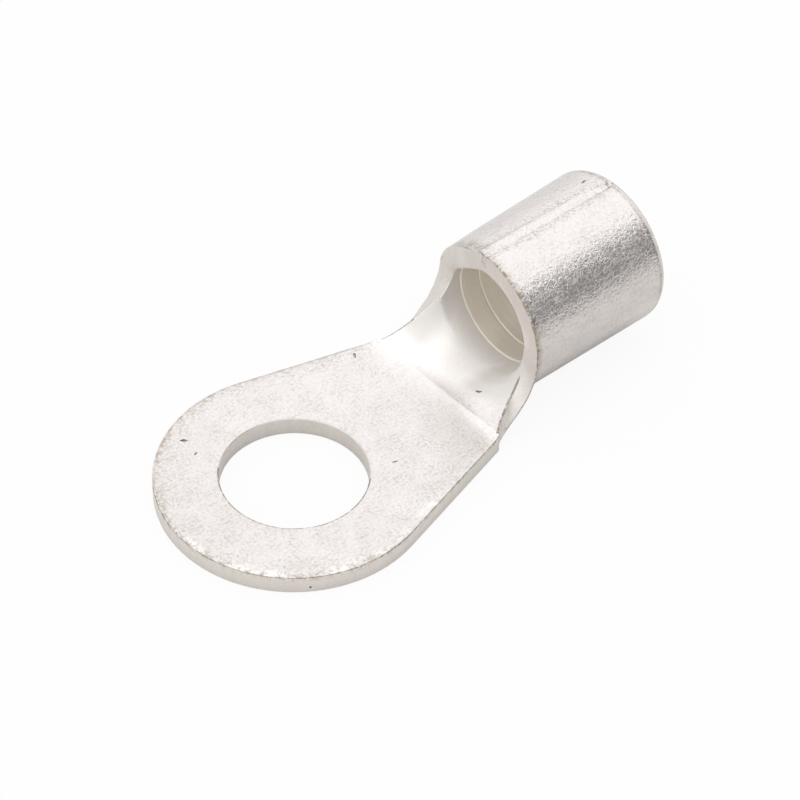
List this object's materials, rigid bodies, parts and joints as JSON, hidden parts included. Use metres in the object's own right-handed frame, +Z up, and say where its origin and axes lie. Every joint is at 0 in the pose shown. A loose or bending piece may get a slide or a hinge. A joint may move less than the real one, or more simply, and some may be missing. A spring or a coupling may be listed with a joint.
{
  "type": "ring terminal",
  "caption": "Uninsulated ring terminal: a flat tongue with a stud hole, rolled at its tail into a brazed-seam barrel that is crimped onto a stranded wire.",
  "frame": {"origin": "centre of the stud hole on the underside of the tongue", "axes": "+X along the barrel's axis, from the ring towards the wire end; +Z up, square to the tongue; +Y to the left, seen from the ring"},
  "size_m": [0.0399, 0.0198, 0.012],
  "materials": {
    "tin_plate": "matte tin plate over copper"
  },
  "bodies": {
    "root": {"ring_terminal": "tin_plate"}
  },
  "joints": []
}
